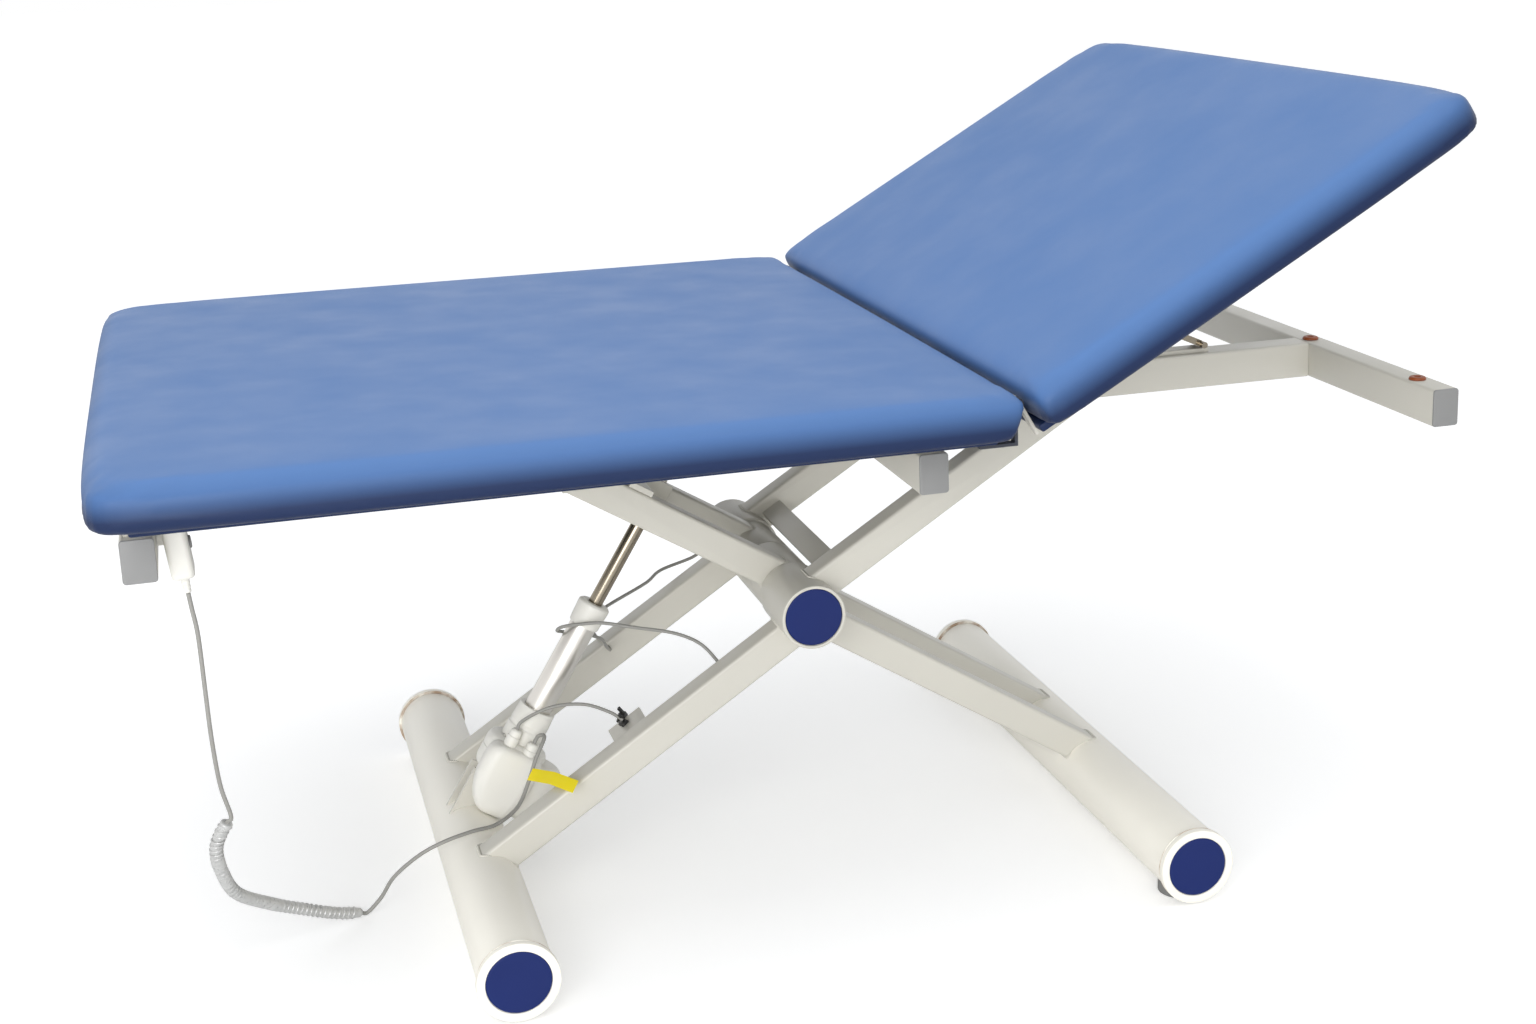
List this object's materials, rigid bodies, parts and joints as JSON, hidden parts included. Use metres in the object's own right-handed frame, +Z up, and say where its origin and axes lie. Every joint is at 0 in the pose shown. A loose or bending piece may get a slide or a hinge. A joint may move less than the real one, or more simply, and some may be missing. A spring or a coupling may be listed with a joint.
{
  "type": "bobath table",
  "caption": "Wide height-adjustable physiotherapy mat table with a fold-up backrest, on a tubular scissor base with an electric lifting actuator and a corded handset",
  "frame": {"origin": "on the floor under the middle of the table's box, without the free cord", "axes": "+X to the head end, +Y away from the handset side, +Z up"},
  "size_m": [1.84, 1.2, 1.1186],
  "materials": {
    "cream_enamel": "satin cream enamel with slight wear at the rings",
    "vinyl": "satin blue upholstery vinyl",
    "black_board": "black lined board",
    "blue_plastic": "dark blue satin plastic",
    "grey_plastic": "grey satin plastic",
    "pad_rubber": "grey rubber",
    "pale_plastic": "off-white moulded plastic",
    "steel": "drawn stainless steel",
    "aluminium": "satin aluminium",
    "cord_plastic": "grey cable sheath",
    "silver_tape": "ribbed silver tape",
    "yellow_plastic": "yellow tag film"
  },
  "bodies": {
    "base_foot": {"foot_plug_near": "cream_enamel", "foot_plug_far": "cream_enamel", "foot_disc_near": "blue_plastic", "foot_disc_far": "blue_plastic", "foot_pad_near": "pad_rubber", "foot_pad_far": "pad_rubber"},
    "frame_a": {"foot_tube": "cream_enamel", "a_arm_near": "cream_enamel", "a_arm_far": "cream_enamel", "pivot_axle": "steel", "pivot_disc_near": "blue_plastic", "pivot_disc_far": "blue_plastic", "actuator_mount": "cream_enamel", "cord_tape": "silver_tape", "cord_lower": "cord_plastic", "cord_flag": "yellow_plastic"},
    "frame_b": {"head_tube": "cream_enamel", "b_arm_near": "cream_enamel", "b_arm_far": "cream_enamel", "rod_mount": "cream_enamel"},
    "base_head": {"head_plug_near": "cream_enamel", "head_plug_far": "cream_enamel", "head_disc_near": "blue_plastic", "head_disc_far": "blue_plastic", "head_pad_near": "pad_rubber", "head_pad_far": "pad_rubber"},
    "rollers": {"roller_axle": "grey_plastic"},
    "top_frame": {"foot_cross_tube": "cream_enamel", "foot_cross_tube_cap_near": "grey_plastic", "foot_cross_tube_cap_far": "grey_plastic", "mid_cross_tube": "cream_enamel", "mid_cross_tube_cap_near": "grey_plastic", "mid_cross_tube_cap_far": "grey_plastic", "head_bar": "cream_enamel", "head_bar_cap_near": "grey_plastic", "head_bar_cap_far": "grey_plastic", "spine": "cream_enamel", "slide_rail_near": "cream_enamel", "slide_rail_far": "cream_enamel", "seat_board": "black_board", "seat_cushion": "vinyl", "seat_leaf_near": "grey_plastic", "seat_leaf_far": "grey_plastic", "handset": "pale_plastic", "cord_upper": "cord_plastic"},
    "backrest": {"back_cushion": "vinyl", "back_board": "black_board", "back_leaf_near": "grey_plastic", "back_leaf_far": "grey_plastic", "back_rail_near": "cream_enamel", "back_rail_far": "cream_enamel", "prop_block": "cream_enamel"},
    "prop": {"back_prop": "steel"},
    "actuator": {"motor_housing": "pale_plastic", "outer_tube": "aluminium", "motor_lead": "cord_plastic", "loop_lead": "cord_plastic"},
    "rod": {"lift_rod": "steel"},
    "button_up": {"button_up": "grey_plastic"},
    "button_down": {"button_down": "grey_plastic"}
  },
  "joints": [
    {"name": "lift", "type": "hinge", "parent": "base_foot", "child": "frame_a", "pos_m": [-0.47, 0, 0.057], "axis": [0, -1, 0], "range_deg": [-15, 8]},
    {"name": "scissor", "type": "hinge", "parent": "frame_a", "child": "frame_b", "pos_m": [0.002, 0, 0.406], "axis": [0, -1, 0], "range_deg": [-16, 30]},
    {"name": "base_head_level", "type": "hinge", "parent": "frame_b", "child": "base_head", "pos_m": [0.474, 0, 0.057], "axis": [0, -1, 0], "range_deg": [-15, 8]},
    {"name": "roller_turn", "type": "hinge", "parent": "frame_b", "child": "rollers", "pos_m": [-0.401, 0, 0.655], "axis": [0, -1, 0], "continuous": true},
    {"name": "top_level", "type": "hinge", "parent": "frame_a", "child": "top_frame", "pos_m": [0.405, 0, 0.655], "axis": [0, -1, 0], "range_deg": [-8, 15]},
    {"name": "backrest_tilt", "type": "hinge", "parent": "top_frame", "child": "backrest", "pos_m": [0.192, 0, 0.76], "axis": [0, -1, 0], "range_deg": [-29.5, 40]},
    {"name": "prop_swing", "type": "hinge", "parent": "backrest", "child": "prop", "pos_m": [0.42865, 0, 0.81185], "axis": [0, -1, 0], "range_deg": [-73, 54]},
    {"name": "actuator_swing", "type": "hinge", "parent": "frame_a", "child": "actuator", "pos_m": [-0.42475, 0, 0.12896], "axis": [0, -1, 0], "range_deg": [-0.61, 0.33]},
    {"name": "rod_stroke", "type": "slide", "parent": "actuator", "child": "rod", "axis": [0.5323, 0, 0.8465], "range_m": [-0.1114, 0.0594]},
    {"name": "button_up_press", "type": "slide", "parent": "top_frame", "child": "button_up", "axis": [-0.9945, 0, -0.1045], "range_m": [0, 0.0012], "stiffness_N_per_m": 400, "springref_m": -0.002},
    {"name": "button_down_press", "type": "slide", "parent": "top_frame", "child": "button_down", "axis": [-0.9945, 0, -0.1045], "range_m": [0, 0.0012], "stiffness_N_per_m": 400, "springref_m": -0.002}
  ],
  "couplings": [
    {"joint": "scissor", "follows": "lift", "ratio": -2},
    {"joint": "base_head_level", "follows": "lift", "ratio": 1},
    {"joint": "top_level", "follows": "lift", "ratio": -1},
    {"joint": "actuator_swing", "follows": "lift", "ratio": 0.04},
    {"joint": "rod_stroke", "follows": "lift", "m_per_rad": 0.425},
    {"joint": "prop_swing", "follows": "backrest_tilt", "ratio": -1.82}
  ]
}
